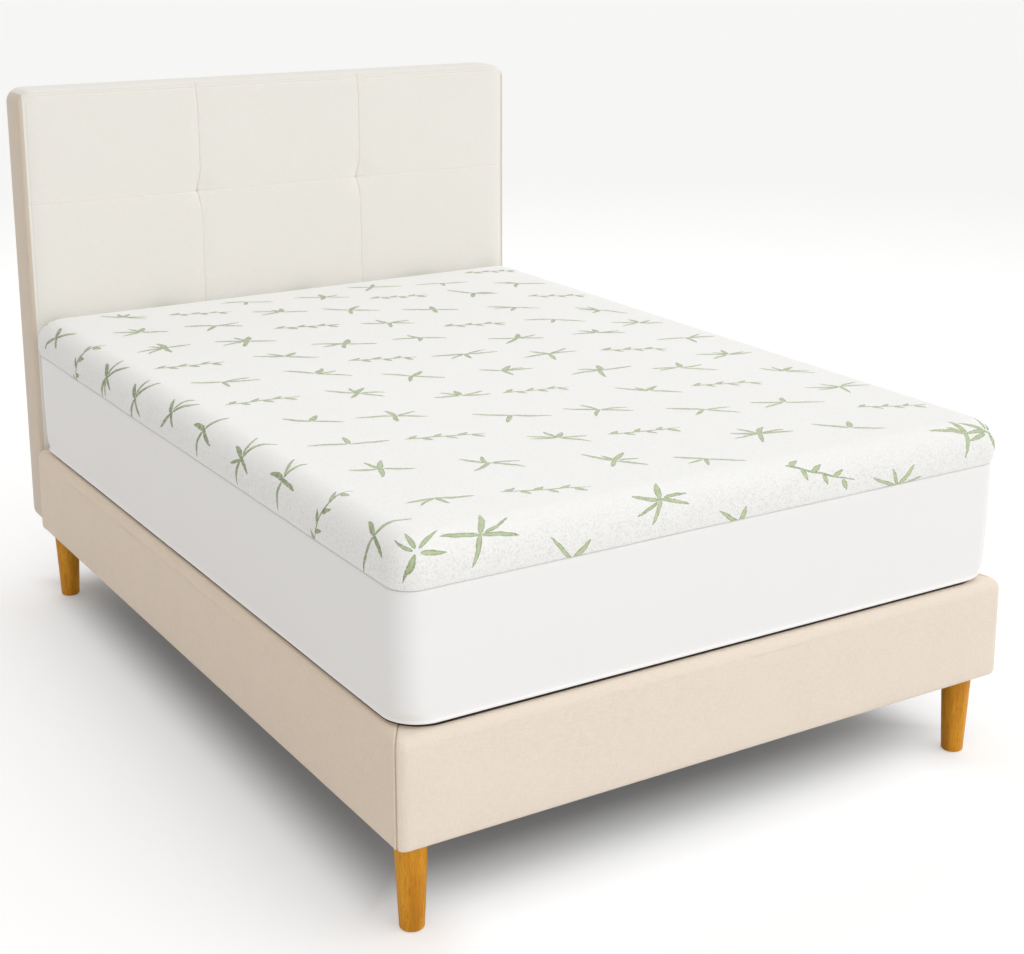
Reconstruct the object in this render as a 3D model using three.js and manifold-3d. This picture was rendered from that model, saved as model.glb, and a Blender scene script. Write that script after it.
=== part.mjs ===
// A fitted mattress protector on a double mattress, with the upholstered bed that carries them.
// Millimetres, +Z up, +Y towards the headboard. The origin is on the floor under the middle of the bed.
import * as THREE from 'three';
import { mergeVertices } from 'three/addons/utils/BufferGeometryUtils.js';
import Module from 'manifold-3d';

const wasm = await Module();
wasm.setup();

// Driving dimensions
const MATTRESS_WIDTH = 1372;
const MATTRESS_LENGTH = 1905;
const LEG_HEIGHT = 179;
const BASE_HEIGHT = 209;
const BASE_WIDTH = 1410;
const MATTRESS_HEIGHT = 334;
const SEAM_HEIGHT = 640;
const HEADBOARD_WIDTH = 1380;
const HEADBOARD_THICKNESS = 110;
const HEADBOARD_BOTTOM = 168;
const HEADBOARD_TOP = 1291;

// Cloth and the small clearances between pieces
const GAP = 0.3;
const PANEL_CLOTH = 3;
const SKIRT_CLOTH = 1.5;
const CLOTH_CLEARANCE = 2.2;
const HEAD_CLEARANCE = 2;
const HEM_TURN_UNDER = 30;

// The mattress under its cloth, seen in section
const TOP_EDGE_RADIUS = 50;
const BOTTOM_EDGE_RADIUS = 6;
const RIM_LIFT = 6;
const RIM_LIFT_REACH = 40;
const BOTTOM_DRAW_IN = 3;
const DRAW_IN_HEIGHT = 150;
const PANEL_PUFF = 3;
const PUFF_HEIGHT = 24;
const CROWN_RISE = 6;
const CROWN_REACH = 260;
const TOP_CORNER_RADIUS = 42;
const BOTTOM_CORNER_RADIUS = 70;
const CORNER_SPREAD_HEIGHT = 36;
const INNER_CORNER_RADIUS = 12;

// The bed
const FOOT_LEDGE = 13;
const BASE_TOP_EDGE_RADIUS = 20;
const BASE_BOTTOM_EDGE_RADIUS = 12;
const BASE_CORNER_RADIUS = 16;
const HEADBOARD_CORNER_RADIUS = 34;
const HEADBOARD_FRONT_EDGE_RADIUS = 14;
const HEADBOARD_BACK_EDGE_RADIUS = 8;
const LEVEL_SEAM_HEIGHT = 1009;
const LEG_TOP_RADIUS = 31;
const LEG_FLOOR_RADIUS = 22.5;
const LEG_SIDE_INSET = 55;
const LEG_FOOT_END_INSET = 62;
const LEG_HEAD_END_INSET = 36;

// Places worked out from the sizes above
const baseBottom = LEG_HEIGHT + GAP;
const baseTop = baseBottom + BASE_HEIGHT;
const hemBottom = baseTop + GAP;
const mattressBottom = hemBottom + SKIRT_CLOTH + GAP;
const mattressTop = mattressBottom + MATTRESS_HEIGHT;
const clothReach = PANEL_PUFF + CLOTH_CLEARANCE + PANEL_CLOTH;
const baseLength = FOOT_LEDGE + clothReach + MATTRESS_LENGTH + clothReach + HEAD_CLEARANCE;
const bedLength = baseLength + HEADBOARD_THICKNESS;
const footEnd = -bedLength / 2;
const headboardFront = footEnd + baseLength;
const mattressMiddle = footEnd + FOOT_LEDGE + clothReach + MATTRESS_LENGTH / 2;

const finish = (color, roughness) => new THREE.MeshStandardMaterial({ color, roughness, metalness: 0 });
const printedKnit = finish(0xf2f5ee, 0.9);
const smoothKnit = finish(0xf0f0f1, 0.8);
const ticking = finish(0xefece4, 0.9);
const linen = finish(0xe9dccb, 0.95);
const oak = finish(0xc98a3c, 0.5);

const smoothStep = (value) => {
  const t = Math.min(Math.max(value, 0), 1);
  return t * t * (3 - 2 * t);
};

// A level ring round a rectangle with rounded corners, counter-clockwise from above.
function roundedRing(halfWidth, halfLength, middleY, z, corner) {
  const cornerSteps = 7;
  const sideSteps = 5;
  const corners = [[1, -1, -90], [1, 1, 0], [-1, 1, 90], [-1, -1, 180]];
  const arcs = corners.map(([signX, signY, start]) => {
    const points = [];
    for (let step = 0; step <= cornerSteps; step += 1) {
      const angle = THREE.MathUtils.degToRad(start + (90 * step) / cornerSteps);
      const x = signX * (halfWidth - corner) + corner * Math.cos(angle);
      const y = middleY + signY * (halfLength - corner) + corner * Math.sin(angle);
      points.push(new THREE.Vector3(x, y, z));
    }
    return points;
  });
  const ring = [];
  arcs.forEach((arc, index) => {
    const next = arcs[(index + 1) % arcs.length][0];
    const last = arc[arc.length - 1];
    ring.push(...arc);
    for (let step = 1; step < sideSteps; step += 1) {
      ring.push(last.clone().lerp(next, step / sideSteps));
    }
  });
  return ring;
}

// One closed body through a row of rings: a loop of cloth when looped, otherwise with a flat cap at each end.
function loft(rings, looped) {
  const count = rings[0].length;
  const positions = rings.flat().flatMap((point) => point.toArray());
  const index = [];
  const bands = looped ? rings.length : rings.length - 1;
  for (let band = 0; band < bands; band += 1) {
    const low = band * count;
    const high = ((band + 1) % rings.length) * count;
    for (let step = 0; step < count; step += 1) {
      const next = (step + 1) % count;
      index.push(low + step, low + next, high + next);
      index.push(low + step, high + next, high + step);
    }
  }
  if (!looped) {
    [[0, false], [rings.length - 1, true]].forEach(([row, outward]) => {
      const middle = new THREE.Box3().setFromPoints(rings[row]).getCenter(new THREE.Vector3());
      const centre = positions.length / 3;
      positions.push(...middle.toArray());
      for (let step = 0; step < count; step += 1) {
        const here = row * count + step;
        const next = row * count + ((step + 1) % count);
        index.push(...(outward ? [here, next, centre] : [next, here, centre]));
      }
    });
  }
  const geometry = new THREE.BufferGeometry();
  geometry.setAttribute('position', new THREE.Float32BufferAttribute(positions, 3));
  geometry.setIndex(index);
  return facingOut(geometry);
}

// Turns a closed body's triangles so that they face out.
function facingOut(geometry) {
  const position = geometry.getAttribute('position');
  const index = geometry.getIndex().array;
  const corner = [new THREE.Vector3(), new THREE.Vector3(), new THREE.Vector3()];
  let volume = 0;
  for (let start = 0; start < index.length; start += 3) {
    corner.forEach((point, side) => point.fromBufferAttribute(position, index[start + side]));
    volume += corner[0].dot(corner[1].clone().cross(corner[2]));
  }
  if (volume < 0) {
    for (let start = 0; start < index.length; start += 3) {
      [index[start], index[start + 1]] = [index[start + 1], index[start]];
    }
  }
  geometry.computeVertexNormals();
  return geometry;
}

// The mattress's section from the bottom to the crown, one row for each level.
// The rim of its underside lifts a little off the base.
// out: how far it stands out from the mattress's nominal side; corner: the radius of its corner in plan.
function mattressSection() {
  const rows = [];
  const drawIn = (z) => -BOTTOM_DRAW_IN * (1 - smoothStep((z - mattressBottom) / DRAW_IN_HEIGHT));
  const cornerAt = (z) => {
    const share = smoothStep((z - mattressBottom) / CORNER_SPREAD_HEIGHT);
    return THREE.MathUtils.lerp(BOTTOM_CORNER_RADIUS, TOP_CORNER_RADIUS, share);
  };
  const liftStart = drawIn(mattressBottom) - BOTTOM_EDGE_RADIUS - RIM_LIFT_REACH;
  rows.push({ out: liftStart, z: mattressBottom, corner: BOTTOM_CORNER_RADIUS - RIM_LIFT_REACH });
  const bottomSteps = 5;
  for (let step = 0; step <= bottomSteps; step += 1) {
    const angle = (Math.PI / 2) * (step / bottomSteps - 1);
    const z = mattressBottom + RIM_LIFT + BOTTOM_EDGE_RADIUS * (1 + Math.sin(angle));
    const out = drawIn(z) - BOTTOM_EDGE_RADIUS * (1 - Math.cos(angle));
    rows.push({ out, z, corner: cornerAt(z) });
  }
  [20, 28, CORNER_SPREAD_HEIGHT, 60, 100, DRAW_IN_HEIGHT].forEach((rise) => {
    const z = mattressBottom + rise;
    rows.push({ out: drawIn(z), z, corner: cornerAt(z) });
  });
  rows.push({ out: 0, z: SEAM_HEIGHT, corner: TOP_CORNER_RADIUS });
  rows.push({ out: PANEL_PUFF * 0.7, z: SEAM_HEIGHT + PUFF_HEIGHT * 0.4, corner: TOP_CORNER_RADIUS });
  const topSteps = 6;
  for (let step = 0; step <= topSteps; step += 1) {
    const angle = (Math.PI / 2) * (step / topSteps);
    const z = mattressTop - TOP_EDGE_RADIUS * (1 - Math.sin(angle));
    const out = PANEL_PUFF - TOP_EDGE_RADIUS * (1 - Math.cos(angle));
    rows.push({ out, z, corner: Math.max(TOP_CORNER_RADIUS + out / 2, INNER_CORNER_RADIUS) });
  }
  [0.35, 0.7, 1].forEach((share) => {
    const out = PANEL_PUFF - TOP_EDGE_RADIUS - share * CROWN_REACH;
    rows.push({ out, z: mattressTop + CROWN_RISE * smoothStep(share), corner: INNER_CORNER_RADIUS });
  });
  return rows;
}

// The same section moved out by a distance at right angles to itself.
// At each end it moves along the way given for that end.
function offsetSection(rows, distance, startNormal, endNormal) {
  return rows.map((row, place) => {
    const before = rows[Math.max(place - 1, 0)];
    const after = rows[Math.min(place + 1, rows.length - 1)];
    const normal = new THREE.Vector2(after.z - before.z, before.out - after.out).normalize();
    if (place === 0) {
      normal.set(...startNormal);
    }
    if (place === rows.length - 1) {
      normal.set(...endNormal);
    }
    return {
      out: row.out + distance * normal.x,
      z: row.z + distance * normal.y,
      corner: Math.max(row.corner + distance * normal.x, INNER_CORNER_RADIUS),
    };
  });
}

const OUTWARD = [1, 0];
const UPWARD = [0, 1];
const UNDER_RIM = [0.15, -0.99];

const mattressRing = (row) => roundedRing(
  MATTRESS_WIDTH / 2 + row.out, MATTRESS_LENGTH / 2 + row.out, mattressMiddle, row.z, row.corner,
);

function mattressBody() {
  return loft(mattressSection().map(mattressRing), false);
}

// The printed top: one cap of cloth over the top and edge, down to the seam.
function topPanel() {
  const covered = mattressSection().filter((row) => row.z >= SEAM_HEIGHT);
  covered[0] = { ...covered[0], z: SEAM_HEIGHT + GAP / 2 };
  const inner = offsetSection(covered, CLOTH_CLEARANCE, OUTWARD, UPWARD);
  const outer = offsetSection(covered, CLOTH_CLEARANCE + PANEL_CLOTH, OUTWARD, UPWARD);
  return loft([...inner.reverse(), ...outer].map(mattressRing), false);
}

// The plain skirt: one band of cloth from the seam down the side, turned under the mattress.
function skirt() {
  const covered = mattressSection().filter((row) => row.z <= SEAM_HEIGHT);
  covered[covered.length - 1] = { ...covered[covered.length - 1], z: SEAM_HEIGHT - GAP / 2 };
  const cloth = (distance, hemDrop) => {
    const side = offsetSection(covered, distance, UNDER_RIM, OUTWARD);
    const turn = side.map((row) => ({ ...row, z: Math.max(row.z, hemDrop) }));
    const hem = { ...turn[0], out: turn[0].out - HEM_TURN_UNDER, corner: INNER_CORNER_RADIUS };
    return [hem, ...turn];
  };
  const inner = cloth(CLOTH_CLEARANCE, hemBottom + SKIRT_CLOTH);
  const outer = cloth(CLOTH_CLEARANCE + SKIRT_CLOTH, hemBottom);
  return loft([...inner, ...outer.reverse()].map(mattressRing), true);
}

// The upholstered box under the mattress, with softly rounded long edges.
function bedBase() {
  const rings = [];
  const addEdge = (radius, edgeZ, inward, angles) => {
    angles.forEach((degrees) => {
      const angle = THREE.MathUtils.degToRad(degrees);
      const out = -radius * (1 - Math.cos(angle));
      const z = edgeZ + inward * radius * (1 - Math.sin(angle));
      const ringCorner = Math.max(BASE_CORNER_RADIUS + out / 2, 4);
      const middleY = footEnd + baseLength / 2 - GAP / 2;
      const halfLength = baseLength / 2 - GAP / 2;
      rings.push(roundedRing(BASE_WIDTH / 2 + out, halfLength + out, middleY, z, ringCorner));
    });
  };
  addEdge(BASE_BOTTOM_EDGE_RADIUS, baseBottom, 1, [90, 60, 30, 0]);
  addEdge(BASE_TOP_EDGE_RADIUS, baseTop, -1, [0, 22.5, 45, 67.5, 90]);
  return loft(rings, false);
}

// How far the headboard's padded face lies behind its front plane.
// The seams are pulled in, and each tuft has a dimple round it.
const uprightSeams = [-HEADBOARD_WIDTH / 6, HEADBOARD_WIDTH / 6];
const SEAM_DEPTH = 5;
const SEAM_HALF_WIDTH = 13;
const TUFT_DEPTH = 13;
const TUFT_RADIUS = 36;

function paddingDepth(x, z) {
  const valley = (distance) => SEAM_DEPTH * Math.exp(-((distance / SEAM_HALF_WIDTH) ** 2));
  const upright = Math.max(...uprightSeams.map((seam) => valley(x - seam)));
  const level = valley(z - LEVEL_SEAM_HEIGHT);
  const dimple = Math.max(...uprightSeams.map((seam) => {
    const distance = Math.hypot(x - seam, z - LEVEL_SEAM_HEIGHT);
    return TUFT_DEPTH * Math.exp(-((distance / TUFT_RADIUS) ** 2));
  }));
  return Math.max(upright, level) + dimple;
}

// Even steps from one end to the other, with close steps on both sides of each seam.
function seamedSteps(start, end, seams, pitch) {
  const nearSeam = [-70, -45, -26, -13, -6, 0, 6, 13, 26, 45, 70];
  const places = seams.flatMap((seam) => nearSeam.map((distance) => seam + distance));
  const count = Math.round((end - start) / pitch);
  for (let step = 0; step <= count; step += 1) {
    const place = start + ((end - start) * step) / count;
    if (seams.every((seam) => Math.abs(place - seam) > 85)) {
      places.push(place);
    }
  }
  return places.sort((a, b) => a - b);
}

// A block whose front is the padded face and whose other sides lie outside the headboard.
function paddedBlock() {
  const margin = 20;
  const columns = seamedSteps(-HEADBOARD_WIDTH / 2 - margin, HEADBOARD_WIDTH / 2 + margin, uprightSeams, 120);
  const rows = seamedSteps(HEADBOARD_BOTTOM - margin, HEADBOARD_TOP + margin, [LEVEL_SEAM_HEIGHT], 120);
  const back = headboardFront + HEADBOARD_THICKNESS + margin;
  const ringAt = (z) => {
    const front = columns.map((x) => new THREE.Vector3(x, headboardFront + paddingDepth(x, z), z));
    const backRight = new THREE.Vector3(columns[columns.length - 1], back, z);
    const backLeft = new THREE.Vector3(columns[0], back, z);
    return [...front, backRight, backLeft];
  };
  return loft(rows.map(ringAt), false);
}

// The headboard's slab: upright rings from its back face to its front, with rounded edges.
function headboardSlab() {
  const halfHeight = (HEADBOARD_TOP - HEADBOARD_BOTTOM) / 2;
  const middleZ = (HEADBOARD_TOP + HEADBOARD_BOTTOM) / 2;
  const rings = [];
  const addEdge = (radius, edgeY, inward, angles) => {
    angles.forEach((degrees) => {
      const angle = THREE.MathUtils.degToRad(degrees);
      const out = -radius * (1 - Math.cos(angle));
      const y = edgeY + inward * radius * (1 - Math.sin(angle));
      const corner = HEADBOARD_CORNER_RADIUS + out / 2;
      const flat = roundedRing(HEADBOARD_WIDTH / 2 + out, halfHeight + out, 0, 0, corner);
      rings.push(flat.map((point) => new THREE.Vector3(point.x, y, middleZ + point.y)));
    });
  };
  addEdge(HEADBOARD_BACK_EDGE_RADIUS, headboardFront + HEADBOARD_THICKNESS, -1, [90, 45, 0]);
  addEdge(HEADBOARD_FRONT_EDGE_RADIUS, headboardFront, 1, [0, 22.5, 45, 67.5, 90]);
  return loft(rings, false);
}

function toSolid(geometry) {
  const bare = geometry.clone();
  bare.deleteAttribute('normal');
  bare.deleteAttribute('uv');
  const merged = mergeVertices(bare, 1e-4);
  return new wasm.Manifold(new wasm.Mesh({
    numProp: 3,
    vertProperties: new Float32Array(merged.getAttribute('position').array),
    triVerts: new Uint32Array(merged.getIndex().array),
  }));
}

function toGeometry(solid) {
  const mesh = solid.getMesh();
  const geometry = new THREE.BufferGeometry();
  geometry.setAttribute('position', new THREE.Float32BufferAttribute(mesh.vertProperties, 3));
  geometry.setIndex(new THREE.Uint32BufferAttribute(mesh.triVerts, 1));
  geometry.computeVertexNormals();
  return geometry;
}

function headboard() {
  return toGeometry(toSolid(headboardSlab()).intersect(toSolid(paddedBlock())));
}

// A round leg, turned from one piece of wood, with a slightly rounded foot.
function legBody() {
  const footRounding = 3;
  const profile = [
    [0, 0],
    [LEG_FLOOR_RADIUS - footRounding, 0],
    [LEG_FLOOR_RADIUS - footRounding * 0.3, footRounding * 0.3],
    [LEG_FLOOR_RADIUS, footRounding],
    [THREE.MathUtils.lerp(LEG_FLOOR_RADIUS, LEG_TOP_RADIUS, 0.5), LEG_HEIGHT / 2],
    [LEG_TOP_RADIUS, LEG_HEIGHT],
    [0, LEG_HEIGHT],
  ];
  const turned = new THREE.LatheGeometry(profile.map(([radius, z]) => new THREE.Vector2(radius, z)), 28);
  return turned.rotateX(Math.PI / 2);
}

function named(name, geometry, material) {
  const mesh = new THREE.Mesh(geometry, material);
  mesh.name = name;
  return mesh;
}

const protectedBed = new THREE.Group();
protectedBed.add(named('protector_top_panel', topPanel(), printedKnit));
protectedBed.add(named('protector_skirt', skirt(), smoothKnit));
protectedBed.add(named('mattress', mattressBody(), ticking));
protectedBed.add(named('bed_base', bedBase(), linen));
protectedBed.add(named('headboard', headboard(), linen));

const legEnds = { front: footEnd + LEG_FOOT_END_INSET, back: headboardFront - LEG_HEAD_END_INSET };
const legSides = { left: -(BASE_WIDTH / 2 - LEG_SIDE_INSET), right: BASE_WIDTH / 2 - LEG_SIDE_INSET };
Object.entries(legEnds).forEach(([end, y]) => {
  Object.entries(legSides).forEach(([side, x]) => {
    const leg = named(`leg_${end}_${side}`, legBody(), oak);
    leg.position.set(x, y, 0);
    protectedBed.add(leg);
  });
});

export default protectedBed;
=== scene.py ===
# A fitted mattress protector on a double mattress, with the upholstered bed that carries them.
# Metres, +Z up, +Y towards the headboard.
import math
import bmesh
import bpy
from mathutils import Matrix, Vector, noise


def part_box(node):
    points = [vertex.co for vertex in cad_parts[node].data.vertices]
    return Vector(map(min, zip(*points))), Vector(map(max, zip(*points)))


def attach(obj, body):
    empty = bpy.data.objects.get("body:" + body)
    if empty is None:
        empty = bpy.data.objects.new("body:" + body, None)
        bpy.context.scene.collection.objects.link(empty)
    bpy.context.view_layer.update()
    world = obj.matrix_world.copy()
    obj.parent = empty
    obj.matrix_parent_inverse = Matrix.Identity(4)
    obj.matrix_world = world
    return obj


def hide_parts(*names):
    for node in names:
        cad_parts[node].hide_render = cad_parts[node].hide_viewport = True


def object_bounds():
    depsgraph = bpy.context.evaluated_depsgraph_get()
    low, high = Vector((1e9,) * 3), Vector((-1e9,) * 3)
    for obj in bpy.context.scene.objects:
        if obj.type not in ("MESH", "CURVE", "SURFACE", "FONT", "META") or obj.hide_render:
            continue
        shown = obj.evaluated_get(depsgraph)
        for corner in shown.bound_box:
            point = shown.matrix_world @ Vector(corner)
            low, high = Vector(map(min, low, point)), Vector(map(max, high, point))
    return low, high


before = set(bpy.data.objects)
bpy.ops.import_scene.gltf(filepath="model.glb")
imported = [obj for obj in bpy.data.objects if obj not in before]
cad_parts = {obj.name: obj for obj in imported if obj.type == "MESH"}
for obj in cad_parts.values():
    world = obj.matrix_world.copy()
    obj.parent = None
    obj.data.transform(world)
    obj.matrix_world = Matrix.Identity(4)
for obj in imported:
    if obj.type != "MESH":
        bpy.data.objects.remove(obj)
built_box = [list(corner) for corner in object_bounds()]

# Camera
# It stands off the foot of the bed, to its left, and looks a little down along it.
# The shift keeps the bed in the middle of the picture without tilting its uprights further.
CAMERA_PLACE = (-1.985, -3.451, 1.744)
CAMERA_TURN = 31.75
CAMERA_TILT = 14.17
CAMERA_SENSOR_WIDTH = 36
CAMERA_LENS = 63.5
CAMERA_SHIFT = -0.12
camera_angles = (math.radians(90 - CAMERA_TILT), 0, math.radians(-CAMERA_TURN))
bpy.ops.object.camera_add(location=CAMERA_PLACE, rotation=camera_angles)
camera = bpy.context.object
camera.name = "camera"
camera.data.sensor_width = CAMERA_SENSOR_WIDTH
camera.data.lens = CAMERA_LENS
camera.data.shift_y = CAMERA_SHIFT
bpy.context.scene.camera = camera


# Floor and studio light
# A plain pale floor without an edge in view, under a white sky that is dimmer and warmer on the left.
# One broad soft sun from above the foot end models the edges and seams.
class Wiring:
    """Adds shader nodes to one tree, each joined to the sockets or set to the values given for its inputs."""

    def __init__(self, tree):
        self.tree = tree

    def add(self, kind, *values, **settings):
        made = self.tree.nodes.new(kind)
        for name, value in settings.items():
            setattr(made, name, value)
        for socket, value in zip(made.inputs, values):
            self.give(socket, value)
        return made

    def give(self, socket, value):
        if isinstance(value, bpy.types.NodeSocket):
            self.tree.links.new(value, socket)
        elif value is not None:
            socket.default_value = value

    def math(self, operation, *values):
        return self.add("ShaderNodeMath", *values, operation=operation).outputs[0]

    def vector(self, operation, *values):
        return self.add("ShaderNodeVectorMath", *values, operation=operation).outputs[0]

    def parts(self, place):
        """A place's X, Y and Z."""
        return self.add("ShaderNodeSeparateXYZ", place).outputs

    def join(self, x, y):
        """A place on the level plane from its X and Y."""
        return self.add("ShaderNodeCombineXYZ", x, y, 0.0).outputs[0]

    def turn(self, place, angle):
        """A place turned about the Z axis."""
        made = self.add("ShaderNodeVectorRotate", rotation_type="Z_AXIS")
        self.give(made.inputs["Vector"], place)
        self.give(made.inputs["Angle"], angle)
        return made.outputs[0]

    def ramp(self, value, low, high, start=0.0, end=1.0):
        """A smooth step of value, from start at low to end at high."""
        kind = "ShaderNodeMapRange"
        made = self.add(kind, value, low, high, start, end, interpolation_type="SMOOTHSTEP")
        return made.outputs[0]

    def blend(self, share, first, second):
        """A colour between two colours."""
        made = self.add("ShaderNodeMix", data_type="RGBA")
        self.give(made.inputs[0], share)
        self.give(made.inputs[6], first)
        self.give(made.inputs[7], second)
        return made.outputs[2]

    def grain(self, place, stretch, scale, detail=2.0, roughness=0.5):
        """Noise stretched along the axes, as a value round one half."""
        stretched = self.vector("MULTIPLY", place, stretch)
        made = self.add("ShaderNodeTexNoise", stretched)
        made.inputs["Scale"].default_value = scale
        made.inputs["Detail"].default_value = detail
        made.inputs["Roughness"].default_value = roughness
        return made.outputs["Fac"]


def start_finish(name):
    """A new material: its wiring, its shader and a socket with the place on the object."""
    material = bpy.data.materials.new(name)
    material.use_nodes = True
    wiring = Wiring(material.node_tree)
    shader = material.node_tree.nodes["Principled BSDF"]
    place = wiring.add("ShaderNodeTexCoord").outputs["Object"]
    return material, wiring, shader, place


def set_surface(shader, roughness, specular, sheen=0.0, sheen_roughness=0.5):
    """Sets what is the same all over a finish: how rough, shiny and downy it is."""
    shader.inputs["Roughness"].default_value = roughness
    shader.inputs["Specular IOR Level"].default_value = specular
    shader.inputs["Sheen Weight"].default_value = sheen
    shader.inputs["Sheen Roughness"].default_value = sheen_roughness


def add_relief(wiring, shader, height, depth, strength=1.0):
    """Fine relief in a finish, depth metres from the lowest to the highest height."""
    relief = wiring.add("ShaderNodeBump")
    relief.inputs["Strength"].default_value = strength
    relief.inputs["Distance"].default_value = depth
    wiring.give(relief.inputs["Height"], height)
    wiring.give(shader.inputs["Normal"], relief.outputs["Normal"])


FLOOR_SIZE = 160
FLOOR_DROP = 0.0005
WHITE = (1, 1, 1, 1)
FLOOR_WHITE = (0.945, 0.945, 0.945, 1)
FLOOR_SEEN_WHITE = (0.70, 0.70, 0.70, 1)
FLOOR_GLOW = 0.35
FAR_GLOW = 0.225
FAR_FADE = (3.0, 8.0)
FOOT_GLOW = 0.20
FOOT_GLOW_START = (-0.3, -0.05)
FOOT_GLOW_END = (0.04, 0.16)
FOOT_GLOW_SIDES = (0.0, 0.2)
SHADOW_GLOW_LOSS = 0.29
SHADOW_FADE = (-0.03, 0.14)
SHADOW_BEHIND_FOOT = 0.13
bpy.ops.object.select_all(action="DESELECT")
bpy.ops.mesh.primitive_plane_add(size=FLOOR_SIZE, location=(0, 0, -FLOOR_DROP))
floor = bpy.context.object
floor.name = "floor"
floor_paint, wiring, shader, place = start_finish("floor_paint")
set_surface(shader, 0.9, 0.1)
seen = wiring.add("ShaderNodeLightPath").outputs["Is Camera Ray"]
wiring.give(shader.inputs["Base Color"], wiring.blend(seen, FLOOR_WHITE, FLOOR_SEEN_WHITE))

# As in a bright studio, the floor glows faintly where it is seen, which is painted light: less far off,
# most along the foot as a painted pool of light, and hardly under the bed, which paints a shadow there.
shader.inputs["Emission Color"].default_value = WHITE
from_bed = wiring.add("ShaderNodeVectorMath", place, operation="LENGTH").outputs["Value"]
glow = wiring.ramp(from_bed, *FAR_FADE, FLOOR_GLOW, FAR_GLOW)
floor_parts = wiring.parts(place)
within_sides = wiring.math("SUBTRACT", built_box[1][0], wiring.math("ABSOLUTE", floor_parts["X"]))
behind_foot = wiring.math("SUBTRACT", floor_parts["Y"], built_box[0][1])
before_head = wiring.math("SUBTRACT", built_box[1][1], floor_parts["Y"])
# Painted shadow: the glow is taken away under the bed.
under_bed_painted_shadow = wiring.math("MINIMUM", wiring.math("SUBTRACT", behind_foot, SHADOW_BEHIND_FOOT), before_head)
under_bed_painted_shadow = wiring.ramp(wiring.math("MINIMUM", under_bed_painted_shadow, within_sides), *SHADOW_FADE)
# Painted light: extra glow along the foot.
past_start = wiring.ramp(behind_foot, *FOOT_GLOW_START)
at_foot_painted_light = wiring.math("MULTIPLY", wiring.ramp(behind_foot, *FOOT_GLOW_END, 1, 0), past_start)
at_foot_painted_light = wiring.math("MULTIPLY", at_foot_painted_light, wiring.ramp(within_sides, *FOOT_GLOW_SIDES))
glow = wiring.math("MULTIPLY_ADD", at_foot_painted_light, FOOT_GLOW, glow)
glow = wiring.math("MULTIPLY_ADD", under_bed_painted_shadow, -SHADOW_GLOW_LOSS, glow)
wiring.give(shader.inputs["Emission Strength"], wiring.math("MULTIPLY", seen, glow))
floor.data.materials.append(floor_paint)

SKY_LIGHT = 1.0
SKY_SEEN = 0.93
LEFT_DIMMING = 0.66
LEFT_SPREAD = 1.2
LEFT_TINT = (1.0, 0.95, 0.90, 1)
sky = bpy.data.worlds.new("studio")
sky.use_nodes = True
bpy.context.scene.world = sky
sky_wiring = Wiring(sky.node_tree)
sky_shader = sky.node_tree.nodes["Background"]
sky_seen = sky_wiring.add("ShaderNodeLightPath").outputs["Is Camera Ray"]
sky_way = sky_wiring.add("ShaderNodeTexCoord").outputs["Generated"]
to_left = sky_wiring.math("MULTIPLY", sky_wiring.parts(sky_way)["X"], -LEFT_SPREAD)
to_left = sky_wiring.add("ShaderNodeClamp", to_left).outputs[0]
sky_tint = sky_wiring.blend(to_left, WHITE, LEFT_TINT)
sky_wiring.give(sky_shader.inputs["Color"], sky_wiring.blend(sky_seen, sky_tint, WHITE))
dimmed = sky_wiring.math("MULTIPLY_ADD", to_left, -LEFT_DIMMING * SKY_LIGHT, SKY_LIGHT)
sky_brightness = sky_wiring.add("ShaderNodeMapRange", sky_seen, 0.0, 1.0, dimmed, SKY_SEEN)
sky_wiring.give(sky_shader.inputs["Strength"], sky_brightness.outputs[0])

KEY_LIGHT = 0.57
KEY_FROM = Vector((0.15, -0.5, 1.0))
KEY_SPREAD = 70
bpy.ops.object.light_add(type="SUN", location=(2, -3, 4))
key = bpy.context.object
key.name = "key_light"
key.rotation_euler = KEY_FROM.to_track_quat("Z", "Y").to_euler()
key.data.energy = KEY_LIGHT
key.data.angle = math.radians(KEY_SPREAD)

# True whites, as in a shop's picture of white cloth.
bpy.context.scene.view_settings.view_transform = "Standard"


# Legs
# Four round tapered legs, each turned from one piece of oak and finished in satin lacquer.
# A bolt hidden in the top of each draws it up against the underside of the base.
LEG_SIDES = 64
LEG_FOOT_RADIUS = 0.0225
LEG_FOOT_ROUNDING = 0.004
LEG_TOP_ROUNDING = 0.001
OAK_DARK = (0.585, 0.228, 0.008, 1)
OAK_LIGHT = (0.83, 0.372, 0.018, 1)
OAK_STREAK = (0.41, 0.145, 0.006, 1)
OAK_PORE = (0.2, 0.065, 0.008, 1)


def begin(add_primitive, name, **sizes):
    """Adds a primitive with nothing else selected, gives its mesh its place, and opens it for modelling."""
    bpy.ops.object.select_all(action="DESELECT")
    add_primitive(**sizes)
    piece = bpy.context.object
    piece.name = name
    piece.data.name = name
    bpy.ops.object.transform_apply(location=True, rotation=True, scale=True)
    bpy.ops.object.mode_set(mode="EDIT")
    return piece


def pick(piece, kind, wanted):
    """Selects the points, edges or faces of the piece being modelled that wanted says yes to."""
    bpy.ops.mesh.select_mode(type=kind)
    bpy.ops.mesh.select_all(action="DESELECT")
    shape = bmesh.from_edit_mesh(piece.data)
    elements = {"VERT": shape.verts, "EDGE": shape.edges, "FACE": shape.faces}[kind]
    for element in elements:
        if wanted(element):
            element.select_set(True)
    shape.select_flush_mode()
    bmesh.update_edit_mesh(piece.data)


def round_over(piece, wanted, radius, segments):
    """Bevels the wanted edges of the piece being modelled."""
    pick(piece, "EDGE", wanted)
    bpy.ops.mesh.bevel(offset=radius, segments=segments)


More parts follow.
